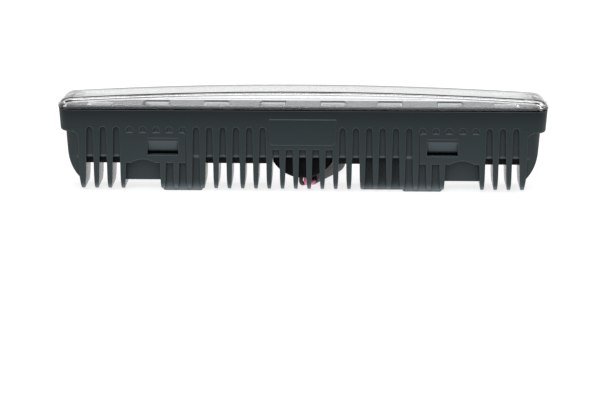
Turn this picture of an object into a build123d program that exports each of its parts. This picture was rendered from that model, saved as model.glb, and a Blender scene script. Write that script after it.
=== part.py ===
from build123d import *
import math
import os

# Daytime running light: a die-cast finned housing, a bowed clear lens, four pairs of fluted reflector
# wings lit by hidden emitters, and a short sleeved lead. Millimetres. X runs along the lamp, the name-plate
# side faces -Y, the light shines towards +Z, and the rear pads stand on z = 0.

# Rim
rim_length = 184.5
rim_depth = 20.0
rim_corner = 5.6
rim_height = 8.5
rim_draft = 4.5  # degrees
rim_bottom_round = 1.25
rim_lip = 1.0  # wall outside the lens seat

# Body and walls
side_wall_height = 9.9  # from the body's back to the rim
floor_thickness = 2.6
side_wall = 1.2
end_wall = 1.9
cavity_corner = 2.0
end_step = 2.05  # step in from the rim to the body's end
end_lean = 0.8
end_shoulder = 7.6  # straight part of the end, below the rim
end_setback = 0.5  # end webs behind the fin faces
end_corner = 4.5
end_foot_height = 4.75  # end webs' lower edge above the fin tips
end_gusset = 2.0  # hollow corner between the last fin and the rim

# Fins
fin_pitch = 5.02
fin_root = 2.7
fin_waist = 2.0
fin_waist_height = 5.4  # above the tips, where the flanks start to curve in
fin_tip = 1.35
fin_drop = 11.95  # below the body's back
fin_tip_round = 0.6
fin_corner = 2.5
fin_end_zone = 6.7  # between the last fin's outer half pitch and the rim's end
end_fin_extra = 0.6  # the outermost fins are thicker by this
groove_depth = 1.9
groove_into_rim = 2.1
core_edge_round = 0.6
spine_half = 1.5
spine_drop = 3.3

# Bracket sockets: a flush panel with a latch window over a pocket between fins
end_fins = 4  # fins outside each socket
socket_pitches = 3
socket_depth = 3.8
socket_lug_height = 3.0  # lug's lower edge above the fin tips
panel_inner = 16.5  # towards the middle, from the pocket's centre
panel_outer = 7.3
panel_height = 11.8
panel_lip = 1.8  # below the body's back
panel_corner = 1.5
panel_chamfer = 0.4
panel_ledge = 0.7  # grooves above a panel are only this deep
arch_width = 9.1
arch_height = 1.35
window_offset = 7.55  # towards the middle, from the pocket's centre
window_width = 11.6
window_bottom = 1.2  # above the body's back
window_catch = 0.6  # catch slot, deeper than the body's wall
window_flat = 1.3
window_ramp = 4.1
window_strip = 1.0
window_shallow = 0.35

# Rear pads
pad_proud = 0.75  # below the fin tips
pad_width = 15.0
pad_offset = 15.0  # pad's middle, towards the lamp's middle from the pocket's centre
pad_setback = 2.0
pad_corner = 1.0
block_width = 15.0
block_setback = 5.5

# Bare name plate
plate_width = 25.4
plate_bottom = 5.1  # above the body's back
plate_height = 10.1
plate_proud = 0.6
plate_corner = 1.8
plate_chamfer = 0.25
plate_margin = 1.6  # plain band under the plate

# Lens
lens_seat_depth = 2.2
lens_clearance = 0.15
lens_wall = 1.5
lens_rise = 7.1  # apex above the rim's top
lens_bow = 2.9
lens_draft = 3.0  # degrees
lens_step = 0.5  # lens body inside the rim's outline
lens_end_run = 4.7  # length of the curve that rounds each end
lens_end_drop = 2.7
lens_steepest = 72  # degrees, slope that still belongs to the skin and not to a side wall
lens_edge_round = 1.1
lens_inner_round = 0.4
flange_gap = 0.55  # above the rim's top
flange_overhang = 0.3  # beyond the rim's outline
flange_height = 1.1
seal_thickness = 0.4
seal_inset = 0.1  # bead behind the lens's and the rim's edges

# Optics
pair_count = 4
pair_end_margin = 4.2
wing_inner = 5.6
wing_outer = 15.4
wing_inner_radius = 17.0
flute_count = 6
flute_inner = 8.4
flute_height = 0.22
reflector_wall = 0.8
reflector_end_wall = 0.45
reflector_end_draft = 8.0  # degrees
reflector_clearance = 0.1
cup_floor = 0.5
emitter_hole = 2.2
bezel_rise = 0.7  # bezel's back above the rim's top
bezel_thickness = 0.6
bezel_clearance = 0.2
bezel_chamfer = 0.25
window_chamfer = 0.2

# Electronics
pad_thickness = 0.5
board_thickness = 1.6
board_clearance = 0.2
board_end_clearance = 0.7
emitter_size = 3.6
emitter_base = 0.8
emitter_dome = 1.3
screw_diameter = 3.0
screw_length = 6.0
screw_head = 5.4
screw_head_height = 1.9
screw_clearance = 0.1
chip_size = (4.9, 3.9, 1.5)
chip_place = (-3.4, 2.7)
chip_lead = (0.4, 0.9, 0.25)
chip_lead_pitch = 1.27
chip_leads_a_side = 4
inductor_size = 4.6
inductor_height = 2.8
inductor_corner = 0.9
inductor_well = 3.7
inductor_winding = 2.6
inductor_well_depth = 1.4
inductor_recess = 0.35  # winding's top below the core's top
inductor_place = (3.4, 2.9)
diode_size = (2.4, 4.2, 2.1)
capacitor_size = (1.6, 3.2, 1.4)
resistor_size = (1.6, 3.2, 0.6)
small_part_offset = 4.5  # from a board screw's axis
solder_radius = 0.75

# Lead
notch_pitches = 5
notch_front = 4.8  # fins kept in front of the grommet end this far before the middle
grommet_clearance = 0.2
grommet_front_gap = 0.4
grommet_depth = 8.0
grommet_drop = 8.5
grommet_head = 2.3  # straight-sided part below the body's back
grommet_round = 1.6
grommet_neck = (5.6, 3.4)
grommet_flange = (7.4, 5.2)
grommet_flange_height = 0.4
wire_diameter = 1.6
wire_clearance = 0.05
wire_y = -1.6
wire_x = {"red_wire": 1.1, "black_wire": -0.7}
wire_low = 1.5
sleeve_diameter = 4.5
bend_share = 0.45  # of the shorter run, taken up by the arc at each corner
floor_gap = 0.05
connector_entry = 4.05
connector_length = 20.0
connector_width = 12.0
connector_height = 8.0
connector_corner = 1.8
connector_collar = 3.5
connector_collar_inset = 0.8
socket_wall = 1.3
socket_bore = 9.0
latch_width = 4.0
latch_height = 1.2
latch_length = 7.0
boot_length = 6.0
boot_diameter = 7.0
terminal_size = (1.5, 0.64, 7.0)
terminal_pitch = 4.0

# Heights worked out from the pads upwards
tip_z = pad_proud
waist_z = tip_z + fin_waist_height
back_z = tip_z + fin_drop
rim_bottom_z = back_z + side_wall_height
rim_top_z = rim_bottom_z + rim_height
groove_top_z = rim_bottom_z + groove_into_rim
root_z = groove_top_z - (fin_pitch - fin_root) / 2
cavity_floor_z = back_z + floor_thickness
board_z = cavity_floor_z + pad_thickness
board_top_z = board_z + board_thickness
seat_z = rim_top_z - lens_seat_depth
bezel_z = rim_top_z + bezel_rise
flange_z = rim_top_z + flange_gap
apex_z = rim_top_z + lens_rise

# Half sizes in plan
rim_shrink = rim_height * math.tan(math.radians(rim_draft))
fin_half = rim_depth / 2 - rim_shrink
core_half = fin_half - groove_depth
cavity_half = core_half - side_wall
end_x = rim_length / 2 - rim_shrink - end_step
shoulder_x = end_x - end_lean
cavity_end = shoulder_x - end_wall
lens_half_x = rim_length / 2 - rim_lip - lens_clearance
lens_half_y = rim_depth / 2 - rim_lip - lens_clearance
lens_corner = rim_corner - rim_lip - lens_clearance
board_half = cavity_half - board_clearance
board_end = cavity_end - board_end_clearance

# Fin pattern, counted from the middle outwards
fins_per_half = int((rim_length / 2 - fin_end_zone) / fin_pitch)
last_fin_x = (fins_per_half - 0.5) * fin_pitch
socket_x = last_fin_x - (end_fins - 1) * fin_pitch - socket_pitches * fin_pitch / 2
gap_places = [fin_pitch * k for k in range(1 - fins_per_half, fins_per_half)]

# Reflector pairs, and the parabola whose focus lies in the emitter
pair_half = wing_outer + reflector_wall
pair_pitch = 2 * (cavity_end - pair_end_margin - pair_half) / (pair_count - 1)
pair_places = [pair_pitch * (i - (pair_count - 1) / 2) for i in range(pair_count)]
focus_z = board_top_z + emitter_base + emitter_dome / 3
drop_to_focus = focus_z - bezel_z
focal_length = (drop_to_focus + math.hypot(drop_to_focus, wing_outer)) / 2
reflector_half = cavity_half - reflector_clearance
screw_places = [-pair_pitch, pair_pitch]


def block(x0, x1, y0, y1, z0, z1):
    size = (x1 - x0, y1 - y0, z1 - z0)
    return Pos((x0 + x1) / 2, (y0 + y1) / 2, (z0 + z1) / 2) * Box(*size)


def rounded_prism(half_x, half_y, corner, z0, z1):
    return extrude(Pos(0, 0, z0) * RectangleRounded(2 * half_x, 2 * half_y, corner), z1 - z0)


def both_ends(solid):
    return [solid, mirror(solid, Plane.YZ)]


def both_sides(solid):
    return [solid, mirror(solid, Plane.XZ)]


def four_ways(solid):
    return [copy for half in both_ends(solid) for copy in both_sides(half)]


def fin_half_width(z):
    """Half a fin's width at a height between its waist and its root."""
    share = (z - waist_z) / (root_z - waist_z)
    return (fin_waist + (fin_root - fin_waist) * share) / 2


def gap_prism(pitches, top_z, round_top):
    """Space between two fins that stand some pitches apart, open downwards, with the fins' tips rounded."""
    below_z = tip_z - fin_tip_round
    arc_rise = fin_tip_round * math.sqrt(0.5)
    reach = pitches * fin_pitch / 2
    knee_z = tip_z + fin_tip_round
    knee = reach - fin_tip / 2
    centre = knee + fin_tip_round
    waist = reach - fin_waist / 2
    shoulder_z = top_z - reach + fin_half_width(top_z) if round_top else top_z
    shoulder = reach - fin_half_width(shoulder_z)
    with BuildSketch(Plane.XZ) as section:
        with BuildLine():
            for s in (-1, 1):
                arc_middle = (s * (centre - arc_rise), knee_z - arc_rise)
                Line((s * centre, below_z), (s * centre, tip_z))
                ThreePointArc((s * centre, tip_z), arc_middle, (s * knee, knee_z))
                flank = Line((s * shoulder, shoulder_z), (s * waist, waist_z))
                TangentArc((s * waist, waist_z), (s * knee, knee_z), tangent=flank % 1)
            if round_top:
                ThreePointArc((-shoulder, shoulder_z), (0, top_z), (shoulder, shoulder_z))
            else:
                Line((-shoulder, shoulder_z), (shoulder, shoulder_z))
            Line((centre, below_z), (-centre, below_z))
        make_face()
    return extrude(section.sketch, rim_depth, both=True)


def comb():
    """All the cross fins, standing down from the rim, before the body joins them."""
    top_z = groove_top_z - groove_into_rim / 2
    outer_edge = [
        (last_fin_x + fin_tip / 2, tip_z),
        (last_fin_x + fin_waist / 2 + end_fin_extra, waist_z),
        (last_fin_x + fin_half_width(top_z) + end_fin_extra, top_z),
    ]
    with BuildSketch(Plane.XZ) as side:
        Polygon(*outer_edge, *[(-x, z) for x, z in reversed(outer_edge)], align=None)
    long_block = extrude(side.sketch, fin_half, both=True)
    tip_edges = long_block.edges().filter_by(Axis.X).group_by(Axis.Z)[0]
    long_block = fillet(tip_edges, fin_corner)
    gap = gap_prism(1, groove_top_z, True)
    return long_block - [Pos(x, 0, 0) * gap for x in gap_places]


def gusset():
    """Filling of the hollow corner between the last fin's outer edge and the rim."""
    corner_x = last_fin_x + fin_half_width(rim_bottom_z) + end_fin_extra
    low_z = rim_bottom_z - end_gusset
    arc_dip = end_gusset * (1 - math.sqrt(0.5))
    top_z = rim_bottom_z + rim_bottom_round
    with BuildSketch(Plane.XZ) as side:
        with BuildLine():
            arc_middle = (corner_x + arc_dip, rim_bottom_z - arc_dip)
            far = (corner_x + end_gusset, rim_bottom_z)
            ThreePointArc((corner_x, low_z), arc_middle, far)
            Polyline(far, (far[0], top_z), (last_fin_x, top_z), (last_fin_x, low_z), (corner_x, low_z))
        make_face()
    return extrude(side.sketch, fin_half, both=True)


def end_web():
    """Solid end of the body: straight under the rim, then swept in towards the last fin."""
    foot_x = last_fin_x + fin_waist / 2 + end_fin_extra
    foot_z = tip_z + end_foot_height
    top_z = rim_bottom_z + rim_bottom_round
    shoulder_z = rim_bottom_z - end_shoulder
    with BuildSketch(Plane.XZ) as side:
        with BuildLine():
            Line((last_fin_x, top_z), (end_x, top_z))
            Line((end_x, top_z), (end_x, rim_bottom_z))
            lean = Line((end_x, rim_bottom_z), (shoulder_x, shoulder_z))
            TangentArc((shoulder_x, shoulder_z), (foot_x, foot_z), tangent=lean % 1)
            Line((foot_x, foot_z), (last_fin_x, foot_z))
            Line((last_fin_x, foot_z), (last_fin_x, top_z))
        make_face()
    web = extrude(side.sketch, fin_half, both=True)
    return web & rounded_prism(end_x, fin_half - end_setback, end_corner, 0, rim_top_z)


def rim():
    """Drafted rim with a rounded lower edge, into which the grooves between the fins run out."""
    outline = Pos(0, 0, rim_top_z) * RectangleRounded(rim_length, rim_depth, rim_corner)
    solid = extrude(outline, -rim_height, taper=rim_draft)
    solid = fillet(solid.faces().sort_by(Axis.Z)[0].edges(), rim_bottom_round)
    beside_core = block(-fin_pitch, fin_pitch, core_half, rim_depth, back_z, rim_top_z)
    groove = gap_prism(1, groove_top_z, True) & beside_core
    return solid - [Pos(x, 0, 0) * side for x in gap_places for side in both_sides(groove)]


def socket_panel():
    """Flush panel over a pocket, with an arched lower edge, on the +X end and the -Y side."""
    low_z = back_z - panel_lip
    panel = block(
        socket_x - panel_inner, socket_x + panel_outer, -fin_half, -core_half + side_wall / 2,
        low_z, low_z + panel_height,
    )
    panel = fillet(panel.edges().filter_by(Axis.Y).group_by(Axis.Z)[-1], panel_corner)
    front_top = panel.faces().sort_by(Axis.Y)[0].edges().sort_by(Axis.Z)[-3:]
    panel = chamfer(front_top, panel_chamfer)
    panel += block(
        socket_x - panel_inner, socket_x + panel_outer, panel_ledge - fin_half, -core_half + side_wall / 2,
        back_z, groove_top_z,
    )
    radius = (arch_width**2 / 4 + arch_height**2) / (2 * arch_height)
    arch = Pos(socket_x, 0, low_z + arch_height - radius) * Rot(90, 0, 0) * Cylinder(radius, 2 * rim_depth)
    below = block(-rim_length, rim_length, -rim_depth, rim_depth, -rim_height, back_z)
    return panel - (arch & below)


def latch_window():
    """Recess in a panel: a shallow strip, a ramp and a deep catch below it."""
    bottom = back_z + window_bottom
    ramp_low = bottom + window_flat
    ramp_high = ramp_low + window_ramp
    top = ramp_high + window_strip
    outside = -fin_half - groove_depth
    deep = -core_half + window_catch
    shallow = -fin_half + window_shallow
    with BuildSketch(Plane.YZ) as side:
        Polygon(
            (outside, bottom), (deep, bottom), (deep, ramp_low), (-core_half, ramp_low),
            (shallow, ramp_high), (shallow, top), (outside, top), align=None,
        )
    cut = extrude(side.sketch, window_width / 2, both=True)
    return Pos(socket_x - window_offset, 0, 0) * cut


def rear_pads():
    pad_x = socket_x - pad_offset
    half = fin_half - pad_setback
    pad = block(pad_x - pad_width / 2, pad_x + pad_width / 2, -half, half, 0, back_z + floor_thickness / 2)
    corners = pad.edges().filter_by(Axis.Y).group_by(Axis.Z)[0]
    pad = fillet(corners, pad_corner)
    block_x = pad_x - pad_width / 2
    set_back = block(
        block_x - block_width, block_x + pad_corner, block_setback - fin_half, half,
        0, back_z + floor_thickness / 2,
    )
    return both_ends(pad) + [set_back]


def name_plate():
    half = plate_width / 2
    low_z = back_z + plate_bottom
    high_z = low_z + plate_height
    band = block(-half, half, -fin_half, -core_half + side_wall / 2, low_z - plate_margin, high_z)
    plate = block(-half, half, -fin_half - plate_proud, -core_half, low_z, high_z)
    plate = fillet(plate.edges().filter_by(Axis.Y).group_by(Axis.Z)[0], plate_corner)
    plate = chamfer(plate.faces().sort_by(Axis.Y)[0].edges(), plate_chamfer)
    return [band, plate]


def housing():
    pocket = gap_prism(socket_pitches, back_z, False)
    body = comb() - both_ends(Pos(socket_x, 0, 0) * pocket)
    inside_x = last_fin_x + end_fin_extra
    joint_z = rim_bottom_z + groove_into_rim / 2
    core = block(-inside_x, inside_x, -core_half, core_half, back_z, joint_z)
    core = fillet(core.edges().filter_by(Axis.X).group_by(Axis.Z)[0], core_edge_round)
    spine = block(
        -inside_x, inside_x, -spine_half, spine_half, back_z - spine_drop, back_z + floor_thickness / 2
    )
    lug_half = socket_pitches * fin_pitch / 2
    lug = block(
        socket_x - lug_half, socket_x + lug_half, socket_depth - fin_half, fin_half - socket_depth,
        tip_z + socket_lug_height, back_z + floor_thickness / 2,
    )
    body = body + [core, spine, rim()] + both_ends(lug) + both_ends(end_web()) + both_ends(gusset())
    body = body + four_ways(socket_panel()) + rear_pads() + name_plate()

    cavity = rounded_prism(cavity_end, cavity_half, cavity_corner, cavity_floor_z, apex_z)
    seat = inside_rim(rim_lip, seat_z, apex_z)
    notch_space = block(-rim_length, rim_length, -notch_front, rim_depth, -rim_height, back_z)
    notch = gap_prism(notch_pitches, back_z, False) & notch_space
    neck = neck_prism(grommet_neck, wire_clearance, 0, cavity_floor_z + floor_thickness)
    holes = [screw_hole(x, board_top_z - screw_length) for x in screw_places]
    return body - ([cavity, seat, notch, neck] + holes + four_ways(latch_window()))


def neck_prism(size, margin, z0, z1):
    middle = sum(wire_x.values()) / len(wire_x)
    outline = SlotOverall(size[0] + 2 * margin, size[1] + 2 * margin)
    return extrude(Pos(middle, wire_y, z0) * outline, z1 - z0)


def screw_hole(x, z0):
    radius = screw_diameter / 2 + screw_clearance
    return extrude(Pos(x, 0, z0) * Circle(radius), board_top_z - z0)


def inside_rim(margin, z0, z1):
    """Prism that keeps an even margin inside the rim's outline."""
    return rounded_prism(rim_length / 2 - margin, rim_depth / 2 - margin, rim_corner - margin, z0, z1)


def inside_seat(margin, z0, z1):
    """Prism that keeps an even margin inside the lens's skirt."""
    return rounded_prism(lens_half_x - margin, lens_half_y - margin, lens_corner - margin, z0, z1)


def under_skin(margin):
    """Everything under the lens's long bow and the tighter curves that round its ends."""
    end = rim_length / 2 - margin
    apex = apex_z - margin
    bow_radius = (end**2 + lens_bow**2) / (2 * lens_bow)
    turn = end - lens_end_run
    turn_z = apex - bow_radius + math.sqrt(bow_radius**2 - turn**2)
    low_z = seat_z
    with BuildSketch(Plane.XZ) as side:
        with BuildLine():
            bow = ThreePointArc((-turn, turn_z), (0, apex), (turn, turn_z))
            TangentArc((turn, turn_z), (end, turn_z - lens_end_drop), tangent=bow % 1)
            TangentArc((-turn, turn_z), (-end, turn_z - lens_end_drop), tangent=-(bow % 0))
            Polyline(
                (end, turn_z - lens_end_drop), (end, low_z), (-end, low_z), (-end, turn_z - lens_end_drop)
            )
        make_face()
    return extrude(side.sketch, rim_depth, both=True)


def lens_shell(margin, edge_round, split_z):
    """Solid under the lens's outer skin, or under its inner skin where the margin is the wall."""
    inset = lens_step + margin
    outline = RectangleRounded(rim_length - 2 * inset, rim_depth - 2 * inset, rim_corner - inset)
    tower = extrude(Pos(0, 0, split_z) * outline, apex_z - split_z, taper=lens_draft)
    upper = tower & under_skin(margin)
    steepest = math.cos(math.radians(lens_steepest))
    skin = [edge for face in upper.faces() if face.normal_at().Z > steepest for edge in face.edges()]
    border = [edge for edge in skin if sum(edge.is_same(other) for other in skin) == 1]
    return fillet(border, edge_round) + inside_seat(margin, seat_z + seal_thickness, split_z)


def lens_cover():
    flange_top = flange_z + flange_height
    outer = lens_shell(0, lens_edge_round, flange_z)
    inner = lens_shell(lens_wall, lens_inner_round, flange_top)
    return outer + inside_rim(-flange_overhang, flange_z, flange_top) - inner


def lens_seal():
    """Bead of sealant round the lens's skirt, from the bottom of the seat up to the flange."""
    bead = inside_rim(rim_lip, seat_z, rim_top_z) + inside_rim(seal_inset, rim_top_z, flange_z)
    skirt = inside_seat(0, seat_z + seal_thickness, flange_z)
    return bead - [skirt, inside_seat(lens_wall - seal_inset, seat_z, flange_z)]


def wing_window():
    """One window of the bezel: straight sides, and an inner side that bulges towards the emitter."""
    sagitta = wing_inner_radius - math.sqrt(wing_inner_radius**2 - reflector_half**2)
    corner_x = wing_inner + sagitta
    with BuildSketch() as outline:
        with BuildLine():
            ThreePointArc((corner_x, -reflector_half), (wing_inner, 0), (corner_x, reflector_half))
            Polyline(
                (corner_x, reflector_half), (wing_outer, reflector_half),
                (wing_outer, -reflector_half), (corner_x, -reflector_half),
            )
        make_face()
    return extrude(Pos(0, 0, bezel_z) * outline.sketch, bezel_thickness)


def inner_bezel():
    plate = inside_seat(lens_wall + bezel_clearance, bezel_z, bezel_z + bezel_thickness)
    plate = chamfer(plate.faces().sort_by(Axis.Z)[-1].edges(), bezel_chamfer)
    windows = both_ends(wing_window())
    plate = plate - [Pos(x, 0, 0) * window for x in pair_places for window in windows]
    top = plate.faces().sort_by(Axis.Z)[-1]
    return chamfer([edge for wire in top.inner_wires() for edge in wire.edges()], window_chamfer)


def parabola_z(x):
    return focus_z - focal_length + x**2 / (4 * focal_length)


def reflector():
    """Insert with two parabolic wings, fluted on their outer part, and a flat floor round the emitter."""
    floor_z = board_top_z + cup_floor
    floor_x = 2 * math.sqrt(focal_length * (floor_z - focus_z + focal_length))
    smooth_x = (floor_x + flute_inner) / 2
    step = (wing_outer - flute_inner) / flute_count
    with BuildSketch(Plane.XZ) as wing:
        with BuildLine():
            Line((0, bezel_z), (0, floor_z))
            Line((0, floor_z), (floor_x, floor_z))
            ThreePointArc(
                (floor_x, floor_z), (smooth_x, parabola_z(smooth_x)), (flute_inner, parabola_z(flute_inner))
            )
            for i in range(flute_count):
                x0 = flute_inner + i * step
                x1 = x0 + step
                z0 = parabola_z(x0)
                z1 = parabola_z(x1)
                slope = math.atan2(z1 - z0, x1 - x0)
                crest_x = (x0 + x1) / 2 - flute_height * math.sin(slope)
                crest_z = (z0 + z1) / 2 + flute_height * math.cos(slope)
                ThreePointArc((x0, z0), (crest_x, crest_z), (x1, z1))
            Line((wing_outer, parabola_z(wing_outer)), (0, bezel_z))
        make_face()
    top_y = reflector_half - reflector_end_wall
    floor_y = top_y - (bezel_z - floor_z) * math.tan(math.radians(reflector_end_draft))
    with BuildSketch(Plane.YZ) as end:
        Polygon((-top_y, bezel_z), (top_y, bezel_z), (floor_y, floor_z), (-floor_y, floor_z), align=None)
    air = extrude(wing.sketch, reflector_half, both=True) & extrude(end.sketch, pair_half, both=True)
    heel_x = floor_x + reflector_wall
    knee_z = bezel_z - 2 * reflector_wall
    with BuildSketch(Plane.XZ) as shell:
        Polygon(
            (-heel_x, board_top_z), (heel_x, board_top_z), (pair_half, knee_z), (pair_half, bezel_z),
            (-pair_half, bezel_z), (-pair_half, knee_z), align=None,
        )
    body = extrude(shell.sketch, reflector_half, both=True)
    hole = block(-emitter_hole, emitter_hole, -emitter_hole, emitter_hole, board_top_z, floor_z)
    return body - both_ends(air) - hole


def emitter():
    base = Pos(0, 0, board_top_z + emitter_base / 2) * Box(emitter_size, emitter_size, emitter_base)
    on_top = (Align.CENTER, Align.CENTER, Align.MIN)
    dome = Pos(0, 0, board_top_z + emitter_base) * Sphere(emitter_dome, arc_size1=0, align=on_top)
    return base + dome


def thermal_pad():
    pad = rounded_prism(board_end, board_half, cavity_corner, cavity_floor_z, board_z)
    flange = neck_prism(grommet_flange, grommet_clearance, cavity_floor_z, board_z)
    return pad - ([flange] + [screw_hole(x, cavity_floor_z) for x in screw_places])


def circuit_board():
    board = rounded_prism(board_end, board_half, cavity_corner, board_z, board_top_z)
    return board - [screw_hole(x, board_z) for x in screw_places]


def board_screw():
    shank = extrude(Pos(0, 0, board_top_z) * Circle(screw_diameter / 2), -screw_length)
    head = extrude(Pos(0, 0, board_top_z) * Circle(screw_head / 2), screw_head_height)
    head = fillet(head.edges().group_by(Axis.Z)[-1], screw_head_height / 2)
    head_top = Pos(0, 0, board_top_z + screw_head_height)
    socket = extrude(head_top * RegularPolygon(screw_diameter / 2, 6), -screw_head_height / 2)
    return shank + head - socket


def on_board(x, y, size):
    return Pos(x, y, board_top_z + size[2] / 2) * Box(*size)


def driver_chip():
    lead_y = chip_size[1] / 2 + chip_lead[1] / 2
    leads = []
    for i in range(chip_leads_a_side):
        for side in (-1, 1):
            lead_x = chip_place[0] + chip_lead_pitch * (i - (chip_leads_a_side - 1) / 2)
            leads.append(on_board(lead_x, chip_place[1] + side * lead_y, chip_lead))
    body = on_board(chip_place[0], chip_place[1], chip_size)
    body = chamfer(body.faces().sort_by(Axis.Z)[-1].edges(), chip_lead[2])
    return body + leads


def inductor():
    place = Pos(inductor_place[0], inductor_place[1], board_top_z)
    core = extrude(place * RectangleRounded(inductor_size, inductor_size, inductor_corner), inductor_height)
    well_place = Pos(0, 0, inductor_height - inductor_well_depth) * place
    well = extrude(well_place * Circle(inductor_well / 2), inductor_well_depth)
    winding = extrude(place * Circle(inductor_winding / 2), inductor_height - inductor_recess)
    return core - well + winding


def solder_joints():
    joints = []
    for x in wire_x.values():
        ball = Pos(x, wire_y, board_top_z) * Sphere(solder_radius)
        joints.append(ball & block(-pair_half, pair_half, -board_half, board_half, board_top_z, bezel_z))
    return joints


def cable_grommet():
    """Half-round plug between the fins, with a neck through the floor and a flange inside."""
    half = notch_pitches * fin_pitch / 2 - fin_half_width(back_z) - grommet_clearance
    middle_y = grommet_front_gap - notch_front + grommet_depth / 2
    head_z = back_z - grommet_head
    with BuildSketch(Plane.XZ) as front:
        with BuildLine():
            ThreePointArc((-half, head_z), (0, back_z - grommet_drop), (half, head_z))
            Polyline((half, head_z), (half, back_z), (-half, back_z), (-half, head_z))
        make_face()
    body = Pos(0, middle_y, 0) * extrude(front.sketch, grommet_depth / 2, both=True)
    body = fillet(body.edges().filter_by(GeomType.CIRCLE), grommet_round)
    neck = neck_prism(grommet_neck, 0, back_z, cavity_floor_z + grommet_flange_height)
    flange = neck_prism(grommet_flange, 0, cavity_floor_z, cavity_floor_z + grommet_flange_height)
    bores = []
    for x in wire_x.values():
        bore = Pos(x, wire_y, 0) * Circle(wire_diameter / 2 + wire_clearance)
        bores.append(extrude(bore, board_top_z))
    return body + [neck, flange] - bores


def tube(points, diameter):
    """A round cord on straight runs joined by the largest tangent arcs that the runs allow."""
    places = [Vector(p) for p in points]
    radii = []
    for before, here, after in zip(places, places[1:], places[2:]):
        run = min((here - before).length, (after - here).length)
        turn = (here - before).get_angle(after - here)
        radii.append(bend_share * run / math.tan(math.radians(turn / 2)))
    path = FilletPolyline(*places, radius=radii)
    section = Plane(path @ 0, z_dir=path % 0) * Circle(diameter / 2)
    solid = sweep(section, path)
    wanted = math.pi * diameter**2 / 4 * path.length
    print("arc radii", [round(r, 1) for r in radii], "length", round(path.length, 1))
    print("volume over section times length", round(solid.volume / wanted, 4))
    return solid


# The sleeve's route: from behind the grommet, back along the floor and round to the connector
sleeve_z = sleeve_diameter / 2 + floor_gap
sleeve_route = [
    (3.5, 4.6, sleeve_z),
    (8.4, 18.0, sleeve_z),
    (15.0, 36.0, sleeve_z),
    (11.0, 49.4, sleeve_z),
    (-0.2, 57.7, sleeve_z),
    (-15.2, 57.7, sleeve_z),
    (-30.0, 56.4, connector_entry),
    (-45.0, 55.0, connector_entry),
]
sleeve_start = Vector(sleeve_route[0])
sleeve_heading = (Vector(sleeve_route[1]) - sleeve_start).normalized()
sleeve_end = Vector(sleeve_route[-1])
end_heading = (sleeve_end - Vector(sleeve_route[-2])).normalized()


def wire(name):
    """One core: down from the board through the grommet, round along the floor and into the sleeve."""
    across = Vector(sleeve_heading.Y, -sleeve_heading.X, 0)
    side = 1 if wire_x[name] == max(wire_x.values()) else -1
    offset = across * side * (wire_diameter / 2 + wire_clearance)
    finish = Vector(sleeve_start.X, sleeve_start.Y, wire_low) + offset
    lead_in = finish - sleeve_heading * wire_diameter
    corner = Vector(wire_x[name], wire_y, wire_low)
    points = [Vector(wire_x[name], wire_y, board_z), corner, lead_in, finish]
    path = FilletPolyline(*points, radius=[wire_diameter, wire_diameter])
    section = Plane(path @ 0, z_dir=path % 0) * Circle(wire_diameter / 2)
    return sweep(section, path)


connector_plane = Plane(sleeve_end, x_dir=(-end_heading.Y, end_heading.X, 0), z_dir=end_heading)


def connector_seal():
    rear = connector_plane * Circle(sleeve_diameter / 2)
    front = connector_plane.offset(boot_length) * Circle(boot_diameter / 2)
    return loft([rear, front])


def connector_body():
    start = connector_plane.offset(boot_length)
    end = connector_plane.offset(boot_length + connector_length)
    outline = RectangleRounded(connector_width, connector_height, connector_corner)
    shrink = 2 * connector_collar_inset
    neck_outline = RectangleRounded(connector_width - shrink, connector_height - shrink, connector_corner)
    collar = extrude(start * outline, connector_collar)
    body = extrude(start * neck_outline, connector_length - socket_bore)
    shroud = extrude(end * outline, -socket_bore - socket_wall)
    walls = 2 * socket_wall
    bore_corner = connector_corner - socket_wall / 2
    bore_outline = RectangleRounded(connector_width - walls, connector_height - walls, bore_corner)
    bore = extrude(end * bore_outline, -socket_bore)
    side = -1 if start.y_dir.Z < 0 else 1
    top = side * (connector_height / 2 - latch_height / 2)
    latch_place = connector_plane.offset(boot_length + connector_length - socket_bore - latch_length)
    latch = extrude(latch_place * Pos(0, top, 0) * Rectangle(latch_width, latch_height), latch_length)
    return collar + [body, shroud, latch] - bore


def connector_terminals():
    base = connector_plane.offset(boot_length + connector_length - socket_bore)
    blade = Rectangle(terminal_size[0], terminal_size[1])
    return [extrude(base * Pos(s * terminal_pitch / 2, 0, 0) * blade, terminal_size[2]) for s in (-1, 1)]


reflector_shape = reflector()
emitter_shape = emitter()
screw_shape = board_screw()
nodes = {
    "heat_sink_housing": housing(),
    "lens_cover": lens_cover(),
    "lens_seal": lens_seal(),
    "inner_bezel": inner_bezel(),
    "thermal_pad": thermal_pad(),
    "circuit_board": circuit_board(),
    "board_screws": [Pos(x, 0, 0) * screw_shape for x in screw_places],
    "driver_chip": driver_chip(),
    "inductor": inductor(),
    "diode": on_board(pair_pitch + small_part_offset, 0, diode_size),
    "sense_resistor": on_board(-pair_pitch - small_part_offset, 0, resistor_size),
    "capacitors": [on_board(s * (pair_pitch - small_part_offset), 0, capacitor_size) for s in (-1, 1)],
    "solder_joints": solder_joints(),
    "cable_grommet": cable_grommet(),
    "red_wire": wire("red_wire"),
    "black_wire": wire("black_wire"),
    "cable_sleeve": tube(sleeve_route, sleeve_diameter),
    "connector_seal": connector_seal(),
    "connector_body": connector_body(),
    "connector_terminals": connector_terminals(),
}
for number, x in enumerate(pair_places, 1):
    nodes[f"reflector_{number}"] = Pos(x, 0, 0) * reflector_shape
    nodes[f"led_{number}"] = Pos(x, 0, 0) * emitter_shape

os.makedirs("parts", exist_ok=True)
for name, shape in nodes.items():
    solids = shape if isinstance(shape, list) else [shape]
    whole = Compound(children=[s for part in solids for s in part.solids()])
    export_step(whole, f"parts/{name}.step")
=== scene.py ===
import math

import bmesh
import bpy
from mathutils import Matrix, Vector


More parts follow.
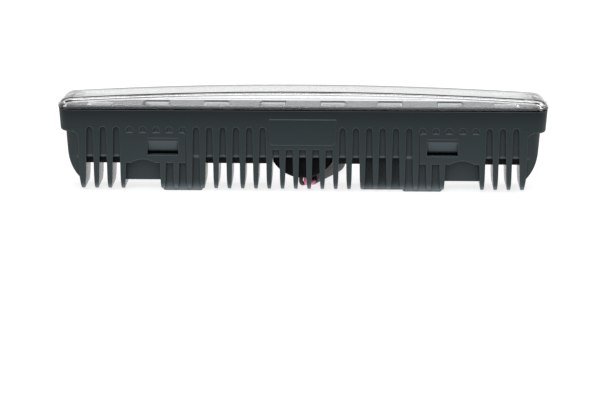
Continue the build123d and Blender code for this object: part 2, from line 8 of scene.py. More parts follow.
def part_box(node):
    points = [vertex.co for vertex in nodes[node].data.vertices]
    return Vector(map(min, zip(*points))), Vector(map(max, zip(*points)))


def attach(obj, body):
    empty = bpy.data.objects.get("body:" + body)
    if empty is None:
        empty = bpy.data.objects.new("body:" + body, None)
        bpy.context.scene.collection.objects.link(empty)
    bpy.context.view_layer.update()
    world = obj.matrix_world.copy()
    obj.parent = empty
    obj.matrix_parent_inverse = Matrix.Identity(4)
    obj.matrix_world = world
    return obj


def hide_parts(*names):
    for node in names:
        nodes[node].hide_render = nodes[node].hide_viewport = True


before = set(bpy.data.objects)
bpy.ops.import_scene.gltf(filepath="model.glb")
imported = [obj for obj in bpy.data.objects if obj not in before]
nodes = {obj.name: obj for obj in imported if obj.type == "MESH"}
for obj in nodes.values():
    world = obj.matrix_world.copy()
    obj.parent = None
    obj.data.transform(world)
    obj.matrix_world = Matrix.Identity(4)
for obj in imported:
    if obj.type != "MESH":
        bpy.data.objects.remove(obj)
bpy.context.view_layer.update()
scene = bpy.context.scene
mm = 0.001
print("frame loaded:", len(nodes), "nodes")

# camera: the photograph's 600 x 400 frame, lamp in the upper half, seen a little from its right
view = {
    "aim": Vector((0.0, -9.3 * mm, 19.0 * mm)),  # middle of the near face
    "aimPixel": (302.4, 142.5),
    "distance": 1.013,
    "elevation": math.radians(10.46),
    "aside": math.radians(1.16),
    "roll": math.radians(0.12),
    "lens": 161.4,
    "sensor": 36.0,
    "clipStart": 0.05,
    "imageSize": (600, 400),
}


def makeCamera():
    data = bpy.data.cameras.new("photoCamera")
    data.lens = view["lens"]
    data.sensor_width = view["sensor"]
    data.clip_start = view["clipStart"]
    camera = bpy.data.objects.new("photoCamera", data)
    scene.collection.objects.link(camera)
    width, height = view["imageSize"]
    focal = view["lens"] / view["sensor"] * width
    right = (view["aimPixel"][0] - width / 2) / focal
    up = (height / 2 - view["aimPixel"][1]) / focal
    tilt = view["elevation"] + math.atan(up)
    back = Vector((-right, -math.cos(view["elevation"]), math.sin(view["elevation"])))
    aside = Matrix.Rotation(view["aside"], 4, "Z")
    turn = Matrix.Rotation(math.pi / 2 - tilt, 4, "X") @ Matrix.Rotation(view["roll"], 4, "Z")
    place = view["aim"] + aside @ (back * view["distance"])
    camera.matrix_world = Matrix.Translation(place) @ aside @ turn
    scene.camera = camera


makeCamera()
print("camera set")


# small helpers for node trees
def newMaterial(name):
    material = bpy.data.materials.new(name)
    material.use_nodes = True
    shader = material.node_tree.nodes["Principled BSDF"]
    return material, material.node_tree, shader


def wire(tree, source, target):
    if isinstance(source, (int, float, tuple)):
        target.default_value = source
    elif source is not None:
        tree.links.new(source, target)


def mathNode(tree, operation, first, second=None):
    node = tree.nodes.new("ShaderNodeMath")
    node.operation = operation
    for value, socket in zip((first, second), node.inputs):
        wire(tree, value, socket)
    return node.outputs[0]


def product(tree, first, *others):
    result = first
    for factor in others:
        result = mathNode(tree, "MULTIPLY", result, factor)
    return result


def splitVector(tree, vector):
    node = tree.nodes.new("ShaderNodeSeparateXYZ")
    tree.links.new(vector, node.inputs[0])
    return node.outputs


def rampNode(tree, value, low, high, toLow, toHigh):
    node = tree.nodes.new("ShaderNodeMapRange")
    wire(tree, value, node.inputs["Value"])
    wire(tree, low, node.inputs["From Min"])
    wire(tree, high, node.inputs["From Max"])
    wire(tree, toLow, node.inputs["To Min"])
    wire(tree, toHigh, node.inputs["To Max"])
    return node.outputs[0]


def mixColour(tree, factor, first, second):
    node = tree.nodes.new("ShaderNodeMix")
    node.data_type = "RGBA"
    sockets = {socket.identifier: socket for socket in (*node.inputs, *node.outputs)}
    wire(tree, factor, sockets["Factor_Float"])
    wire(tree, first, sockets["A_Color"])
    wire(tree, second, sockets["B_Color"])
    return sockets["Result_Color"]


def noiseNode(tree, vector, scale, detail, roughness=0.5):
    node = tree.nodes.new("ShaderNodeTexNoise")
    wire(tree, vector, node.inputs["Vector"])
    wire(tree, scale, node.inputs["Scale"])
    node.inputs["Detail"].default_value = detail
    node.inputs["Roughness"].default_value = roughness
    return node.outputs["Fac"]


def objectPoint(tree):
    return tree.nodes.new("ShaderNodeTexCoord").outputs["Object"]


def bumpNode(tree, height, strength, distance):
    node = tree.nodes.new("ShaderNodeBump")
    node.inputs["Strength"].default_value = strength
    node.inputs["Distance"].default_value = distance
    tree.links.new(height, node.inputs["Height"])
    return node.outputs["Normal"]


# shared effect: fine skin of a coating or moulding, with broad cloudy change over it
skinNoise = {
    "grainDetail": 3.0,
    "grainRough": 0.6,
    "cloudDetail": 4.0,
    "cloudRough": 0.55,
    "cloudBand": (0.3, 0.7),  # from the smoothest spots to the roughest
}


def makeSkinGroup():
    group = bpy.data.node_groups.new("fineSkin", "ShaderNodeTree")
    sockets = group.interface
    sockets.new_socket("Point", in_out="INPUT", socket_type="NodeSocketVector")
    sockets.new_socket("Grain Scale", in_out="INPUT", socket_type="NodeSocketFloat")
    sockets.new_socket("Cloud Scale", in_out="INPUT", socket_type="NodeSocketFloat")
    sockets.new_socket("Grain", in_out="OUTPUT", socket_type="NodeSocketFloat")
    sockets.new_socket("Cloud", in_out="OUTPUT", socket_type="NodeSocketFloat")
    start = group.nodes.new("NodeGroupInput")
    finish = group.nodes.new("NodeGroupOutput")
    for name, scale, detail, rough in (
        ("Grain", "Grain Scale", skinNoise["grainDetail"], skinNoise["grainRough"]),
        ("Cloud", "Cloud Scale", skinNoise["cloudDetail"], skinNoise["cloudRough"]),
    ):
        noise = noiseNode(group, start.outputs["Point"], start.outputs[scale], detail, rough)
        group.links.new(noise, finish.inputs[name])
    return group


skinGroup = makeSkinGroup()


# painted light and shade on a coat: the band of values over which each mask comes up
paintedLightBands = {
    "samples": 8,
    "ridge": (0.995, 0.88),  # cosine between a face and its rounded edge
    "level": (0.05, 0.3),  # vertical part of the rounded edge's normal
    "raised": (0.4, 0.6),  # openness close by
    "crease": (0.5, 0.9),
    "hollow": (0.04, 0.26),  # openness farther out
    "reached": (0.35, 0.6),
    "groove": (0.8, 0.9),
    "litFromAbove": (0.3, 0.6),  # upward part of a face's normal
    "under": (-0.2, -0.7),
    "sideways": 0.9,  # its part across the lamp
    "footPower": 3.0,
}


def openness(tree, reach):
    node = tree.nodes.new("ShaderNodeAmbientOcclusion")
    node.samples = paintedLightBands["samples"]
    node.only_local = True  # the piece's own hollows, not what it stands on
    node.inputs["Distance"].default_value = reach
    return node.outputs["AO"]


# latch window in a panel: its ramp is painted pale as if lit, and its catch is painted dark as shade
latchWindow = {
    "inner": 46.9 * mm,
    "outer": 58.5 * mm,
    "bottom": 13.9 * mm,
    "rampLow": 15.2 * mm,
    "rampHigh": 19.3 * mm,
    "shade": 0.6 * mm,  # up the ramp from the catch
    "deepest": 5.0 * mm,
    "face": 9.0 * mm,
    # painted light on the ramp
    "rampLight": (0.048, 0.062, 0.069, 1.0),
}


def within(tree, value, low, high):
    above = mathNode(tree, "GREATER_THAN", value, low)
    return product(tree, above, mathNode(tree, "LESS_THAN", value, high))


def latchMasks(tree, place):
    fromMiddle = mathNode(tree, "ABSOLUTE", place["X"])
    depth = mathNode(tree, "ABSOLUTE", place["Y"])
    height = place["Z"]
    across = within(tree, fromMiddle, latchWindow["inner"], latchWindow["outer"])
    inside = within(tree, depth, latchWindow["deepest"], latchWindow["face"])
    ramp = within(tree, height, latchWindow["rampLow"], latchWindow["rampHigh"])
    above = mathNode(tree, "GREATER_THAN", height, latchWindow["bottom"])
    shadeTop = latchWindow["rampLow"] + latchWindow["shade"]
    shade = rampNode(tree, height, latchWindow["rampLow"], shadeTop, 1.0, 0.0)
    sunk = product(tree, across, inside)
    return product(tree, sunk, ramp), product(tree, sunk, above, shade)


# painted highlight: pale colour along rounded edges, most on level ones, where they would catch light
def ridgeMask(tree, facing, close, edge):
    rounded = tree.nodes.new("ShaderNodeBevel")
    rounded.samples = paintedLightBands["samples"]
    rounded.inputs["Radius"].default_value = edge["width"]
    turned = tree.nodes.new("ShaderNodeVectorMath")
    turned.operation = "DOT_PRODUCT"
    tree.links.new(rounded.outputs["Normal"], turned.inputs[0])
    tree.links.new(facing, turned.inputs[1])
    ridge = rampNode(tree, turned.outputs["Value"], *paintedLightBands["ridge"], 0.0, 1.0)
    lean = mathNode(tree, "ABSOLUTE", splitVector(tree, rounded.outputs["Normal"])["Z"])
    level = rampNode(tree, lean, *paintedLightBands["level"], edge["uprightShare"], 1.0)  # upright edges get less painted highlight
    raised = rampNode(tree, close, *paintedLightBands["raised"], 0.0, edge["amount"])
    return product(tree, ridge, level, raised)


def lipMask(tree, slope, height, wide, edge):
    # painted light on the floors of the grooves, palest at their lower lips
    lip = rampNode(
        tree, height, edge["lipLow"], edge["lipHigh"], edge["lipAmount"], edge["grooveAmount"]
    )
    above = mathNode(tree, "GREATER_THAN", height, edge["grooveEnd"])
    groove = rampNode(tree, wide, *paintedLightBands["groove"], 1.0, 0.0)
    aside = mathNode(tree, "ABSOLUTE", slope["Y"])
    sideways = mathNode(tree, "GREATER_THAN", aside, paintedLightBands["sideways"])
    return product(tree, lip, above, groove, sideways)


# painted reflection of the floor: fin tips pale, most at the very foot
def footMask(tree, height, wide, edge):
    foot = rampNode(tree, height, edge["footLow"], edge["footHigh"], 1.0, 0.0)
    reached = rampNode(tree, wide, *paintedLightBands["reached"], 0.0, 1.0)
    return product(tree, mathNode(tree, "POWER", foot, paintedLightBands["footPower"]), reached)


# painted light and shade on the coat: pale along raised edges, upward faces and feet as if lit, dark
# in creases, hollows, the latch catch and towards the lens as shade
def paintedShadingColour(tree, colour, edge):
    facing = tree.nodes.new("ShaderNodeNewGeometry").outputs["Normal"]
    slope = splitVector(tree, facing)
    place = splitVector(tree, objectPoint(tree))
    height = place["Z"]
    wide = openness(tree, edge["hollowReach"])
    close = openness(tree, edge["creaseReach"])
    # painted floor light: paler low down and on faces turned down
    low = rampNode(tree, height, edge["paleTop"], edge["footHigh"], 0.0, 1.0)
    under = rampNode(tree, slope["Z"], *paintedLightBands["under"], edge["paleAmount"], edge["underAmount"])
    rampLight, catch = latchMasks(tree, place)
    # painted shade in hollows, creases, the latch catch and towards the lens
    hollow = rampNode(tree, wide, *paintedLightBands["hollow"], 1.0, 0.0)
    rimShade = rampNode(tree, height, edge["rimShadeLow"], edge["rimShadeHigh"], 0.0, edge["rimShadeAmount"])
    paintedShade = mathNode(tree, "MAXIMUM", mathNode(tree, "MAXIMUM", hollow, catch), rimShade)
    crease = rampNode(tree, close, *paintedLightBands["crease"], edge["creaseAmount"], 0.0)
    # painted light on faces turned up, as lit from above
    litFromAbove = rampNode(tree, slope["Z"], *paintedLightBands["litFromAbove"], 0.0, edge["topLightAmount"])
    for mask, tint in (  # each over those before it
        (product(tree, low, under), edge["foot"]),
        (lipMask(tree, slope, height, wide, edge), edge["foot"]),
        (rampLight, latchWindow["rampLight"]),
        (mathNode(tree, "MAXIMUM", paintedShade, crease), edge["hollow"]),
        (ridgeMask(tree, facing, close, edge), edge["colour"]),
        (litFromAbove, edge["foot"]),
        (footMask(tree, height, wide, edge), edge["foot"]),
    ):
        colour = mixColour(tree, mask, colour, tint)
    return colour, paintedShade


def frontMask(tree, band):
    node = tree.nodes.new("ShaderNodeAttribute")
    node.attribute_name = "frontFace"
    return rampNode(tree, node.outputs["Fac"], *band, 0.0, 1.0)


def skinMaterial(name, look):
    material, tree, shader = newMaterial(name)
    skin = tree.nodes.new("ShaderNodeGroup")
    skin.node_tree = skinGroup
    tree.links.new(objectPoint(tree), skin.inputs["Point"])
    skin.inputs["Grain Scale"].default_value = look["grainScale"]
    skin.inputs["Cloud Scale"].default_value = look["cloudScale"]
    colour = mixColour(tree, skin.outputs["Cloud"], look["dark"], look["light"])
    if "edge" in look:
        colour, paintedShade = paintedShadingColour(tree, colour, look["edge"])
        tree.links.new(paintedShade, shader.inputs["Metallic"])  # painted shade: dark and without reflection in hollows, at the latch catch and towards the lens
    if "back" in look:
        front = frontMask(tree, look["frontBand"])
        colour = mixColour(tree, front, look["back"], colour)
        tree.links.new(front, shader.inputs["Metallic"])
    tree.links.new(colour, shader.inputs["Base Color"])
    cloud = skin.outputs["Cloud"]
    rough = rampNode(tree, cloud, *skinNoise["cloudBand"], look["smooth"], look["rough"])
    if "grazing" in look:
        weight = tree.nodes.new("ShaderNodeLayerWeight")
        polish = rampNode(tree, weight.outputs["Facing"], *look["grazingBand"], 1.0, look["grazing"])
        rough = product(tree, rough, polish)
    tree.links.new(rough, shader.inputs["Roughness"])
    grain = bumpNode(tree, skin.outputs["Grain"], look["bump"], look["bumpDepth"])
    tree.links.new(grain, shader.inputs["Normal"])
    for socket, value in look.get("shader", {}).items():
        shader.inputs[socket].default_value = value
    return material


def dress(material, *names):
    for name in names:
        slots = nodes[name].data.materials
        slots.clear()
        slots.append(material)


# materials of the carried-over nodes
castingLook = {
    "dark": (0.003, 0.0095, 0.012, 1.0),
    "light": (0.0065, 0.015, 0.018, 1.0),
    "grainScale": 2600.0,
    "cloudScale": 140.0,
    "smooth": 0.46,
    "rough": 0.56,
    "bump": 0.35,
    "bumpDepth": 0.03 * mm,
    "edge": {
        "width": 0.45 * mm,
        "amount": 0.9,
        "uprightShare": 0.35,
        # painted highlight colour along raised edges
        "colour": (0.080, 0.098, 0.106, 1.0),
        # painted shade colour for hollows, creases, the latch catch and the rim top
        "hollow": (0.001, 0.0015, 0.002, 1.0),
        "hollowReach": 6.0 * mm,
        "creaseReach": 0.9 * mm,
        "creaseAmount": 0.9,
        # pale colour of the painted floor light, top light and fin-tip reflection
        "foot": (0.128, 0.152, 0.164, 1.0),
        "footLow": 0.7 * mm,
        "footHigh": 5.5 * mm,
        "paleTop": 25.0 * mm,  # painted shade and light: the rim is darkest, and the fins pale a little towards their tips
        "paleAmount": 0.12,
        "underAmount": 0.6,
        "topLightAmount": 0.4,
        "grooveEnd": 12.6 * mm,
        "grooveAmount": 0.07,
        "lipLow": 13.4 * mm,
        "lipHigh": 13.9 * mm,
        "lipAmount": 0.6,
        "rimShadeLow": 25.5 * mm,  # painted shade, darker towards the lens
        "rimShadeHigh": 31.0 * mm,
        "rimShadeAmount": 0.35,
    },
    "grazing": 0.5,  # share of the roughness left where the coat is seen along its face
    "grazingBand": (0.83, 0.9),
    "shader": {"Specular IOR Level": 0.3},
}
bezelLook = {
    "dark": (0.008, 0.017, 0.021, 1.0),
    "light": (0.012, 0.023, 0.028, 1.0),
    "grainScale": 300.0,
    "cloudScale": 60.0,
    "smooth": 0.06,
    "rough": 0.10,
    "bump": 0.02,
    "bumpDepth": 0.02 * mm,
}
reflectorLook = {
    "dark": (0.76, 0.78, 0.79, 1.0),
    "light": (0.84, 0.86, 0.87, 1.0),
    "grainScale": 900.0,
    "cloudScale": 120.0,
    "smooth": 0.14,
    "rough": 0.20,
    "bump": 0.06,
    "bumpDepth": 0.02 * mm,
    "back": (0.012, 0.013, 0.014, 1.0),  # bare moulding behind the bright front
    "frontBand": (0.7, 0.95),
}
boardLook = {
    "dark": (0.70, 0.71, 0.69, 1.0),
    "light": (0.80, 0.81, 0.79, 1.0),
    "grainScale": 1500.0,
    "cloudScale": 90.0,
    "smooth": 0.35,
    "rough": 0.5,
    "bump": 0.15,
    "bumpDepth": 0.02 * mm,
}
gapPadLook = {
    "dark": (0.22, 0.23, 0.25, 1.0),
    "light": (0.30, 0.31, 0.33, 1.0),
    "grainScale": 1800.0,
    "cloudScale": 120.0,
    "smooth": 0.75,
    "rough": 0.9,
    "bump": 0.3,
    "bumpDepth": 0.05 * mm,
}
steelLook = {
    "dark": (0.50, 0.50, 0.49, 1.0),
    "light": (0.62, 0.62, 0.61, 1.0),
    "grainScale": 3000.0,
    "cloudScale": 400.0,
    "smooth": 0.22,
    "rough": 0.36,
    "bump": 0.15,
    "bumpDepth": 0.02 * mm,
    "shader": {"Metallic": 1.0},
}
chipLook = {
    "dark": (0.012, 0.012, 0.013, 1.0),
    "light": (0.022, 0.022, 0.023, 1.0),
    "grainScale": 6000.0,
    "cloudScale": 500.0,
    "smooth": 0.5,
    "rough": 0.65,
    "bump": 0.3,
    "bumpDepth": 0.02 * mm,
}
ferriteLook = {
    "dark": (0.030, 0.029, 0.030, 1.0),
    "light": (0.060, 0.058, 0.058, 1.0),
    "grainScale": 5000.0,
    "cloudScale": 700.0,
    "smooth": 0.55,
    "rough": 0.75,
    "bump": 0.4,
    "bumpDepth": 0.03 * mm,
}
capacitorLook = {
    "dark": (0.30, 0.19, 0.10, 1.0),
    "light": (0.42, 0.28, 0.16, 1.0),
    "grainScale": 4000.0,
    "cloudScale": 600.0,
    "smooth": 0.4,
    "rough": 0.55,
    "bump": 0.2,
    "bumpDepth": 0.02 * mm,
}
solderLook = {
    "dark": (0.62, 0.62, 0.61, 1.0),
    "light": (0.76, 0.76, 0.75, 1.0),
    "grainScale": 2500.0,
    "cloudScale": 700.0,
    "smooth": 0.18,
    "rough": 0.34,
    "bump": 0.2,
    "bumpDepth": 0.03 * mm,
    "shader": {"Metallic": 1.0},
}
# seal under the lens flange, coloured near black as the shadow in that gap: a real seal with painted
# shadow
sealantShadowLook = {
    "dark": (0.0015, 0.0015, 0.002, 1.0),
    "light": (0.003, 0.003, 0.0035, 1.0),
    "grainScale": 1500.0,
    "cloudScale": 200.0,
    "smooth": 0.6,
    "rough": 0.8,
    "bump": 0.3,
    "bumpDepth": 0.04 * mm,
    "shader": {"Specular IOR Level": 0.05},
}
rubberLook = {
    "dark": (0.003, 0.0035, 0.004, 1.0),
    "light": (0.006, 0.0065, 0.007, 1.0),
    "grainScale": 3200.0,
    "cloudScale": 260.0,
    "smooth": 0.58,
    "rough": 0.74,
    "bump": 0.35,
    "bumpDepth": 0.04 * mm,
    "shader": {"Specular IOR Level": 0.12},
}
redWireLook = {
    "dark": (0.80, 0.17, 0.31, 1.0),
    "light": (0.88, 0.27, 0.42, 1.0),
    "grainScale": 1400.0,
    "cloudScale": 420.0,
    "smooth": 0.3,
    "rough": 0.42,
    "bump": 0.12,
    "bumpDepth": 0.03 * mm,
}
blackWireLook = {
    "dark": (0.014, 0.015, 0.016, 1.0),
    "light": (0.024, 0.025, 0.027, 1.0),
    "grainScale": 1400.0,
    "cloudScale": 420.0,
    "smooth": 0.3,
    "rough": 0.42,
    "bump": 0.12,
    "bumpDepth": 0.03 * mm,
}
connectorLook = {
    "dark": (0.012, 0.013, 0.014, 1.0),
    "light": (0.020, 0.021, 0.022, 1.0),
    "grainScale": 3600.0,
    "cloudScale": 300.0,
    "smooth": 0.4,
    "rough": 0.54,
    "bump": 0.3,
    "bumpDepth": 0.03 * mm,
}
brassLook = {
    "dark": (0.66, 0.50, 0.24, 1.0),
    "light": (0.80, 0.63, 0.33, 1.0),
    "grainScale": 2600.0,
    "cloudScale": 500.0,
    "smooth": 0.2,
    "rough": 0.34,
    "bump": 0.15,
    "bumpDepth": 0.02 * mm,
    "shader": {"Metallic": 1.0},
}

emitterLook = {
    "ceramic": (0.78, 0.77, 0.72, 1.0),
    "ceramicRough": 0.5,
    "phosphorDark": (0.86, 0.68, 0.12, 1.0),
    "phosphorLight": (0.90, 0.76, 0.24, 1.0),
    "phosphorRough": 0.12,
    "speckScale": 5200.0,
    "speckDetail": 2.0,
    "domeStart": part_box("led_1")[0].z + 0.8 * mm,
    "domeBlend": 0.08 * mm,
}


def emitterMaterial():
    material, tree, shader = newMaterial("emitterPhosphor")
    point = objectPoint(tree)
    start = emitterLook["domeStart"]
    end = start + emitterLook["domeBlend"]
    dome = rampNode(tree, splitVector(tree, point)["Z"], start, end, 0.0, 1.0)
    speck = noiseNode(tree, point, emitterLook["speckScale"], emitterLook["speckDetail"])
    phosphor = mixColour(tree, speck, emitterLook["phosphorDark"], emitterLook["phosphorLight"])
    colour = mixColour(tree, dome, emitterLook["ceramic"], phosphor)
    rough = rampNode(tree, dome, 0.0, 1.0, emitterLook["ceramicRough"], emitterLook["phosphorRough"])
    tree.links.new(colour, shader.inputs["Base Color"])
    tree.links.new(rough, shader.inputs["Roughness"])
    return material


def dressNodes():
    dress(skinMaterial("blackCasting", castingLook), "heat_sink_housing")
    dress(skinMaterial("darkGlossBezel", bezelLook), "inner_bezel")
    dress(skinMaterial("sealantPaintedShadow", sealantShadowLook), "lens_seal")
    dress(skinMaterial("whiteBoard", boardLook), "circuit_board")
    dress(skinMaterial("greyGapPad", gapPadLook), "thermal_pad")
    dress(skinMaterial("screwSteel", steelLook), "board_screws")
    dress(skinMaterial("chipBlack", chipLook), "driver_chip", "diode", "sense_resistor")
    dress(skinMaterial("ferrite", ferriteLook), "inductor")
    dress(skinMaterial("capacitorTan", capacitorLook), "capacitors")
    dress(skinMaterial("solder", solderLook), "solder_joints")
    dress(skinMaterial("blackRubber", rubberLook), "cable_grommet", "connector_seal")
    dress(skinMaterial("redInsulation", redWireLook), "red_wire")
    dress(skinMaterial("blackInsulation", blackWireLook), "black_wire")
    dress(skinMaterial("connectorPlastic", connectorLook), "connector_body")
    dress(skinMaterial("terminalBrass", brassLook), "connector_terminals")
    dress(emitterMaterial(), "led_1", "led_2", "led_3", "led_4")


dressNodes()
print("carried-over nodes dressed")


def plainMesh(holder, name):
    graph = bpy.context.evaluated_depsgraph_get()
    mesh = bpy.data.meshes.new_from_object(holder.evaluated_get(graph))
    mesh.name = name
    return mesh


def addPiece(name, mesh, material, slotName, *replaced):
    piece = bpy.data.objects.new(name, mesh)
    scene.collection.objects.link(piece)
    mesh.materials.clear()
    mesh.materials.append(material)
    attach(piece, "root")
    if replaced:
        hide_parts(*replaced)
    return piece


# lead: a woven sleeve on one smooth curve, from behind the grommet to the connector
lead = {
    "route": [  # in millimetres
        (3.5, 4.6, 2.3), (8.4, 18.0, 2.3), (15.0, 36.0, 2.3), (11.0, 49.4, 2.3), (-0.2, 57.7, 2.3),
        (-15.2, 57.7, 2.3), (-30.0, 56.4, 4.05), (-45.0, 55.0, 4.05),
    ],
    "curveSteps": 24,
    "diameter": 4.5 * mm,
    "length": 105.0 * mm,
    "around": 60,
    "step": 0.24 * mm,
    "strands": 10,
    "weavePitch": 16.0 * mm,
    "weaveDepth": 0.07 * mm,
}


def leadCurve():
    data = bpy.data.curves.new("leadSleeveRoute", "CURVE")
    data.dimensions = "3D"
    data.resolution_u = lead["curveSteps"]
    spline = data.splines.new("NURBS")
    spline.points.add(len(lead["route"]) - 1)
    for point, place in zip(spline.points, lead["route"]):
        point.co = (place[0] * mm, place[1] * mm, place[2] * mm, 1.0)
    spline.order_u = 3
    spline.use_endpoint_u = True
    holder = bpy.data.objects.new("leadSleeveRoute", data)
    scene.collection.objects.link(holder)
    return holder


def geometryTree(name, inputs):
    tree = bpy.data.node_groups.new(name, "GeometryNodeTree")
    tree.interface.new_socket("Geometry", in_out="INPUT", socket_type="NodeSocketGeometry")
    for label, kind in inputs:
        tree.interface.new_socket(label, in_out="INPUT", socket_type=kind)
    tree.interface.new_socket("Geometry", in_out="OUTPUT", socket_type="NodeSocketGeometry")
    return tree, tree.nodes.new("NodeGroupInput"), tree.nodes.new("NodeGroupOutput")


def setInputs(modifier, values):
    for item in modifier.node_group.interface.items_tree:
        if item.in_out == "INPUT" and item.name in values:
            modifier[item.identifier] = values[item.name]


def finishTree(tree, start, finish, geometry):
    realize = tree.nodes.new("GeometryNodeRealizeInstances")
    coat = tree.nodes.new("GeometryNodeSetMaterial")
    tree.links.new(geometry, realize.inputs[0])
    tree.links.new(realize.outputs[0], coat.inputs["Geometry"])
    tree.links.new(start.outputs["Material"], coat.inputs["Material"])
    tree.links.new(coat.outputs[0], finish.inputs[0])


def sleeveTree():
    tree, start, finish = geometryTree("wovenSleeve", [
        ("Radius", "NodeSocketFloat"),
        ("Around", "NodeSocketInt"),
        ("Step", "NodeSocketFloat"),
        ("Strands", "NodeSocketInt"),
        ("Weave Pitch", "NodeSocketFloat"),
        ("Weave Depth", "NodeSocketFloat"),
        ("Material", "NodeSocketMaterial"),
    ])
    links = tree.links
    resample = tree.nodes.new("GeometryNodeResampleCurve")
    resample.mode = "LENGTH"
    links.new(start.outputs["Geometry"], resample.inputs["Curve"])
    links.new(start.outputs["Step"], resample.inputs["Length"])
    along = tree.nodes.new("GeometryNodeSplineParameter")
    keepAlong = tree.nodes.new("GeometryNodeCaptureAttribute")
    keepAlong.capture_items.new("FLOAT", "Along")
    links.new(resample.outputs[0], keepAlong.inputs["Geometry"])
    links.new(along.outputs["Length"], keepAlong.inputs["Along"])
    ring = tree.nodes.new("GeometryNodeCurvePrimitiveCircle")
    links.new(start.outputs["Around"], ring.inputs["Resolution"])
    links.new(start.outputs["Radius"], ring.inputs["Radius"])
    turn = tree.nodes.new("GeometryNodeSplineParameter")
    keepTurn = tree.nodes.new("GeometryNodeCaptureAttribute")
    keepTurn.capture_items.new("FLOAT", "Turn")
    links.new(ring.outputs["Curve"], keepTurn.inputs["Geometry"])
    links.new(turn.outputs["Factor"], keepTurn.inputs["Turn"])
    tube = tree.nodes.new("GeometryNodeCurveToMesh")
    tube.inputs["Fill Caps"].default_value = True
    links.new(keepAlong.outputs["Geometry"], tube.inputs["Curve"])
    links.new(keepTurn.outputs["Geometry"], tube.inputs["Profile Curve"])
    turnPhase = product(tree, keepTurn.outputs["Turn"], start.outputs["Strands"])
    pitchShare = mathNode(tree, "DIVIDE", keepAlong.outputs["Along"], start.outputs["Weave Pitch"])
    alongPhase = product(tree, pitchShare, start.outputs["Strands"])
    waves = []
    for operation in ("ADD", "SUBTRACT"):  # left-hand and right-hand strands
        phase = mathNode(tree, operation, turnPhase, alongPhase)
        waves.append(mathNode(tree, "SINE", product(tree, phase, math.tau)))
    relief = product(tree, *waves, start.outputs["Weave Depth"])
    outward = tree.nodes.new("GeometryNodeInputNormal")
    lift = tree.nodes.new("ShaderNodeVectorMath")
    lift.operation = "SCALE"
    links.new(outward.outputs["Normal"], lift.inputs[0])
    links.new(relief, lift.inputs["Scale"])
    shape = tree.nodes.new("GeometryNodeSetPosition")
    links.new(tube.outputs[0], shape.inputs["Geometry"])
    links.new(lift.outputs[0], shape.inputs["Offset"])
    smooth = tree.nodes.new("GeometryNodeSetShadeSmooth")
    links.new(shape.outputs[0], smooth.inputs["Geometry"])
    finishTree(tree, start, finish, smooth.outputs[0])
    return tree


sleeveLook = {
    "dark": (0.003, 0.0035, 0.004, 1.0),
    "light": (0.009, 0.010, 0.0105, 1.0),
    "grainScale": 3400.0,
    "cloudScale": 900.0,
    "smooth": 0.42,
    "rough": 0.6,
    "bump": 0.5,
    "bumpDepth": 0.05 * mm,
}


def makeLead():
    holder = leadCurve()
    path = [tuple(v.co) for v in plainMesh(holder, "leadSleevePath").vertices]
    material = skinMaterial("blackSleeve", sleeveLook)
    modifier = holder.modifiers.new("wovenSleeve", "NODES")
    modifier.node_group = sleeveTree()
    setInputs(modifier, {
        "Radius": lead["diameter"] / 2 - lead["weaveDepth"],
        "Around": lead["around"],
        "Step": lead["step"],
        "Strands": lead["strands"],
        "Weave Pitch": lead["weavePitch"],
        "Weave Depth": lead["weaveDepth"],
        "Material": material,
    })
    mesh = plainMesh(holder, "leadSleeve")
    bpy.data.objects.remove(holder)
    sleeve = addPiece("leadSleeve", mesh, material, "black_sleeve", "cable_sleeve")


makeLead()
print("lead laid")


def boxInMm(node):
    low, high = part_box(node)
    return low / mm, high / mm


# lens, in millimetres: one closed moulding, bowed along its length and rounded at its ends,
# with a flange on the rim and a skirt inside it
rimHigh = boxInMm("heat_sink_housing")[1]
lensLow, lensHigh = boxInMm("lens_cover")
sealHigh = boxInMm("lens_seal")[1]
lens = {
    "halfX": rimHigh.x,
    "halfY": rimHigh.y,
    "corner": 5.6,
    "apex": lensHigh.z,
    "skirtLow": lensLow.z,
    "flangeLow": sealHigh.z,
    "flangeTop": sealHigh.z + 1.1,
    "flangeInset": -0.3,
    "bodyInset": 0.5,
    "skirtInset": 1.15,
    "bow": 2.9,
    "endRun": 4.7,
    "endDrop": 2.7,
    "draft": math.tan(math.radians(3.0)),
    "edgeRound": 1.1,
    "innerRound": 0.4,
    "wall": 1.5,
    "cornerSteps": 14,
    "longSteps": 72,
    "shortSteps": 8,
    "roundSteps": 10,
    "topSteps": 16,
    "weld": 0.0005,
    "sharpAngle": math.radians(40.0),
}


def lensOutline():
    # plan samples: signs of a corner, outward direction, and on a straight run the next corner
    # with the share of the way to it
    samples = []
    quarter = math.pi / 2
    corners = ((1, 1), (-1, 1), (-1, -1), (1, -1))
    for corner, signs in enumerate(corners):
        for i in range(lens["cornerSteps"] + 1):
            angle = quarter * (corner + i / lens["cornerSteps"])
            samples.append((*signs, math.cos(angle), math.sin(angle), None))
        steps = lens["longSteps"] if corner % 2 == 0 else lens["shortSteps"]
        following = corners[(corner + 1) % len(corners)]
        angle = quarter * (corner + 1)
        for i in range(1, steps):
            samples.append((*signs, math.cos(angle), math.sin(angle), (following, i / steps)))
    return samples


def lensPlan(sample, inset):
    signX, signY, outX, outY, run = sample
    radius = max(lens["corner"] - inset, 0.0)
    coreX = lens["halfX"] - max(inset, lens["corner"])
    coreY = lens["halfY"] - max(inset, lens["corner"])
    x = signX * coreX
    y = signY * coreY
    if run:
        (nextX, nextY), share = run
        x += (nextX * coreX - x) * share
        y += (nextY * coreY - y) * share
    return x + outX * radius, y + outY * radius


